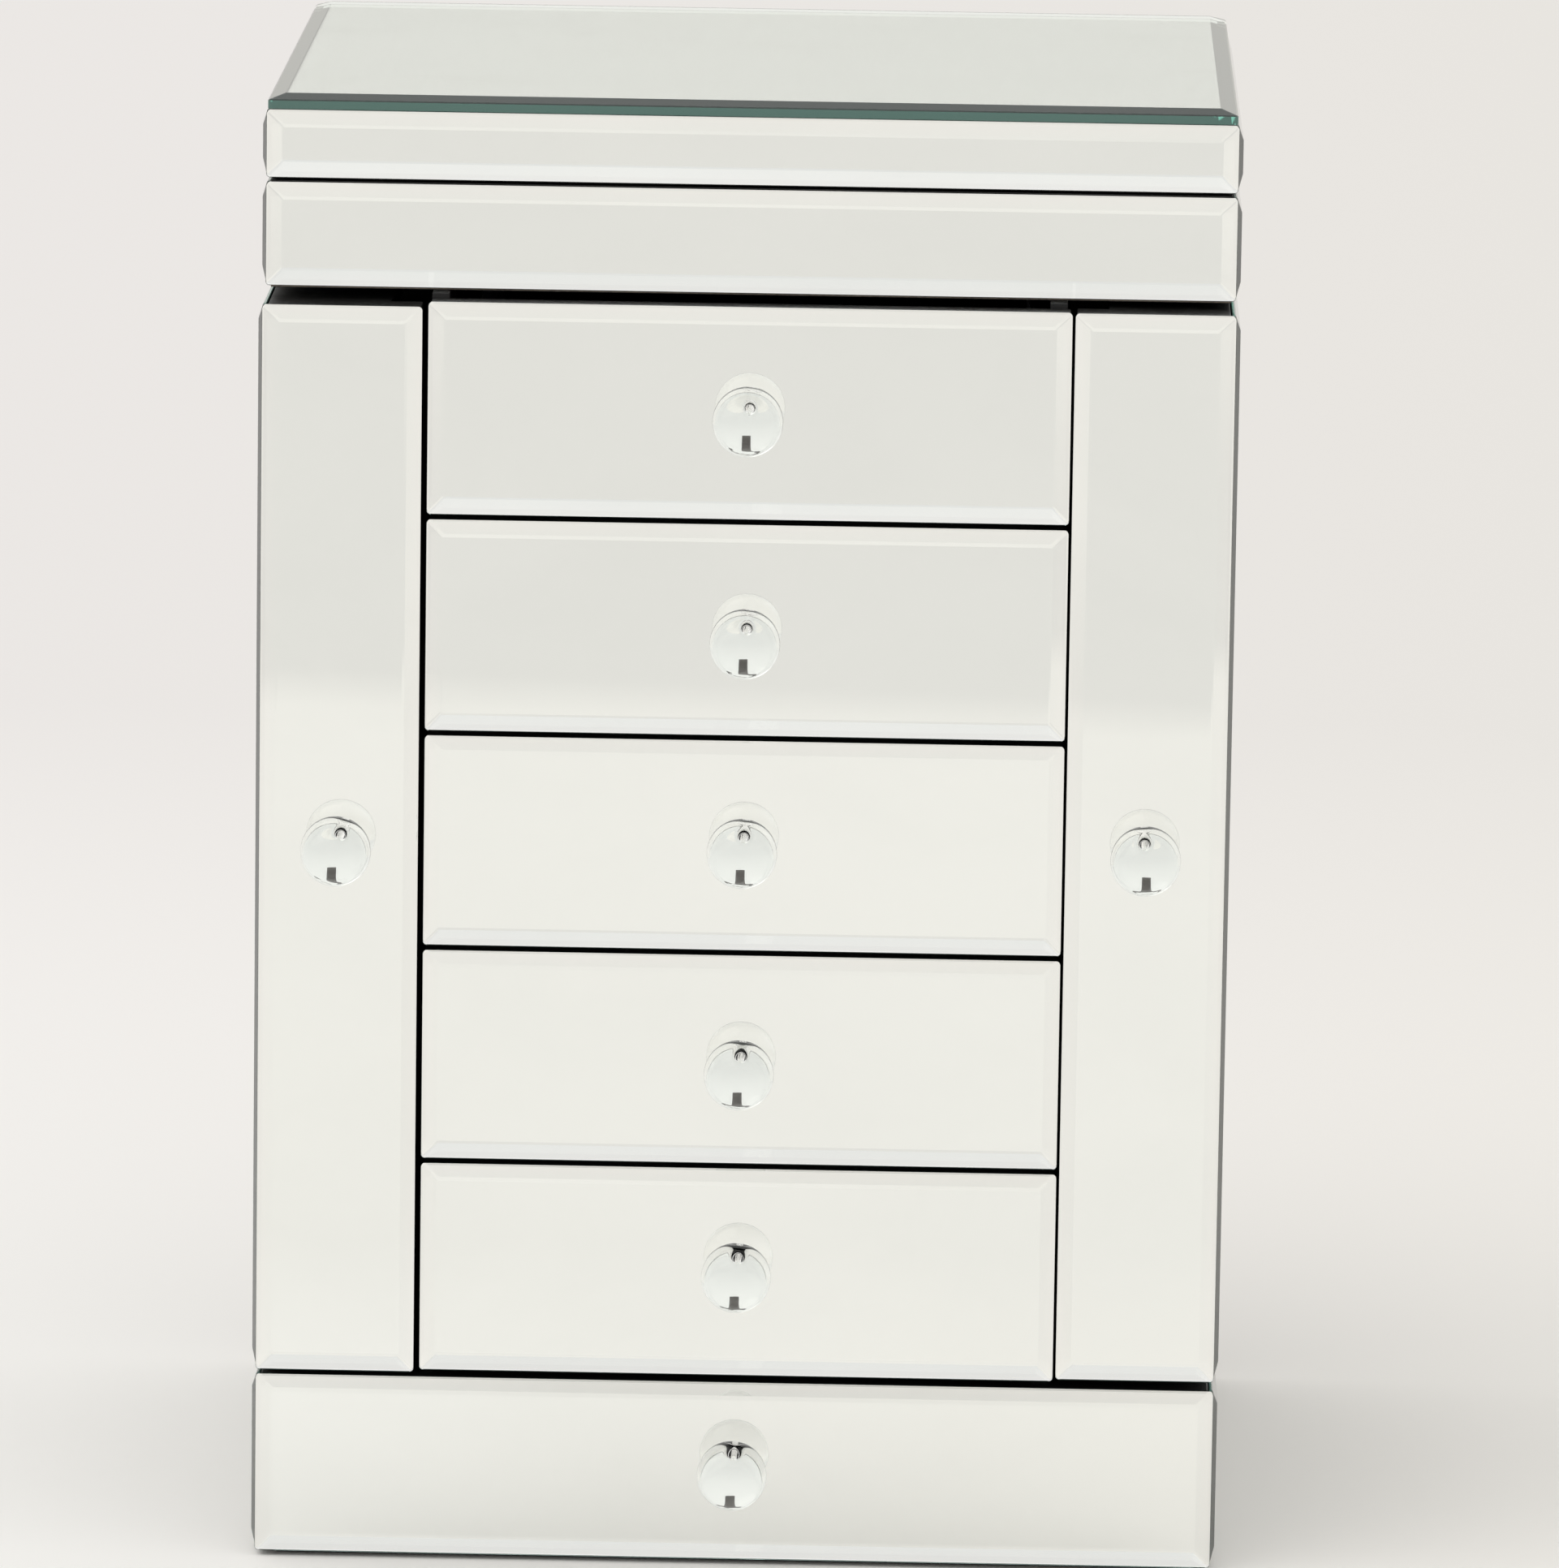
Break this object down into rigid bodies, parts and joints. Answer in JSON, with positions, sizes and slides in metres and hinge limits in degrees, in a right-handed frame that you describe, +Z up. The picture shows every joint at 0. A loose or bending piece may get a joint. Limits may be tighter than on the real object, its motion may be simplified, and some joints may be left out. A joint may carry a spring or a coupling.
{
  "type": "jewellery chest",
  "caption": "Upright mirror-clad jewellery chest: lift-up lid over a fitted tray, centre drawers between swing-out necklace wings, and a full-width base drawer, all with clear ball knobs.",
  "frame": {"origin": "on the floor under the middle of the chest, midway between the knob fronts and the rear hinge barrel", "axes": "+Z up, the front with the knobs faces -Y, +X to the right of someone facing the front"},
  "size_m": [0.3332, 0.3216, 0.5062],
  "materials": {
    "mirror_glass": "silvered float glass with ground bevels and green polished edges",
    "clear_ball": "clear polished glass",
    "black_board": "fibreboard painted satin black",
    "velvet": "black flocked velvet",
    "hinge_steel": "nickel-plated steel",
    "pin_brass": "plain brass"
  },
  "bodies": {
    "case": {"back_panel": "black_board", "base_board": "black_board", "base_felt": "velvet", "base_mirror_left": "mirror_glass", "base_mirror_right": "mirror_glass", "base_side_left": "black_board", "base_side_right": "black_board", "base_top": "black_board", "column_wall_left": "black_board", "column_wall_right": "black_board", "dust_board_1": "black_board", "dust_board_2": "black_board", "dust_board_3": "black_board", "dust_board_4": "black_board", "lid_hinge_leaf_case": "hinge_steel", "ring_cushion": "velvet", "tray_box": "black_board", "tray_divider": "black_board", "tray_mirror_front": "mirror_glass", "tray_mirror_left": "mirror_glass", "tray_mirror_right": "mirror_glass", "wing_left_pin_bottom": "pin_brass", "wing_left_pin_top": "pin_brass", "wing_right_pin_bottom": "pin_brass", "wing_right_pin_top": "pin_brass"},
    "lid": {"lid_frame": "black_board", "lid_hinge_leaf_lid": "hinge_steel", "lid_mirror_front": "mirror_glass", "lid_mirror_left": "mirror_glass", "lid_mirror_right": "mirror_glass", "lid_mirror_top": "mirror_glass"},
    "wing_left": {"wing_left_frame": "black_board", "wing_left_knob": "clear_ball", "wing_left_mirror_front": "mirror_glass", "wing_left_mirror_side": "mirror_glass", "wing_left_necklace_rail": "black_board"},
    "wing_right": {"wing_right_frame": "black_board", "wing_right_knob": "clear_ball", "wing_right_mirror_front": "mirror_glass", "wing_right_mirror_side": "mirror_glass", "wing_right_necklace_rail": "black_board"},
    "drawer_1": {"drawer_1_box": "black_board", "drawer_1_knob": "clear_ball", "drawer_1_mirror": "mirror_glass"},
    "drawer_2": {"drawer_2_box": "black_board", "drawer_2_knob": "clear_ball", "drawer_2_mirror": "mirror_glass"},
    "drawer_3": {"drawer_3_box": "black_board", "drawer_3_knob": "clear_ball", "drawer_3_mirror": "mirror_glass"},
    "drawer_4": {"drawer_4_box": "black_board", "drawer_4_knob": "clear_ball", "drawer_4_mirror": "mirror_glass"},
    "drawer_5": {"drawer_5_box": "black_board", "drawer_5_knob": "clear_ball", "drawer_5_mirror": "mirror_glass"},
    "base_drawer": {"base_drawer_box": "black_board", "base_drawer_knob": "clear_ball", "base_drawer_mirror": "mirror_glass"}
  },
  "joints": [
    {"name": "lid_hinge", "type": "hinge", "parent": "case", "child": "lid", "pos_m": [0, 0.15815, 0.477], "axis": [-1, 0, 0], "range_deg": [0, 100]},
    {"name": "wing_left_hinge", "type": "hinge", "parent": "case", "child": "wing_left", "pos_m": [-0.1585, 0.13985, 0.2515], "axis": [0, 0, -1], "range_deg": [0, 100]},
    {"name": "wing_right_hinge", "type": "hinge", "parent": "case", "child": "wing_right", "pos_m": [0.1585, 0.13985, 0.2531], "axis": [0, 0, 1], "range_deg": [0, 100]},
    {"name": "drawer_1_slide", "type": "slide", "parent": "case", "child": "drawer_1", "axis": [0, -1, 0], "range_m": [0, 0.18]},
    {"name": "drawer_2_slide", "type": "slide", "parent": "case", "child": "drawer_2", "axis": [0, -1, 0], "range_m": [0, 0.18]},
    {"name": "drawer_3_slide", "type": "slide", "parent": "case", "child": "drawer_3", "axis": [0, -1, 0], "range_m": [0, 0.18]},
    {"name": "drawer_4_slide", "type": "slide", "parent": "case", "child": "drawer_4", "axis": [0, -1, 0], "range_m": [0, 0.18]},
    {"name": "drawer_5_slide", "type": "slide", "parent": "case", "child": "drawer_5", "axis": [0, -1, 0], "range_m": [0, 0.18]},
    {"name": "base_drawer_slide", "type": "slide", "parent": "case", "child": "base_drawer", "axis": [0, -1, 0], "range_m": [0, 0.18]}
  ]
}
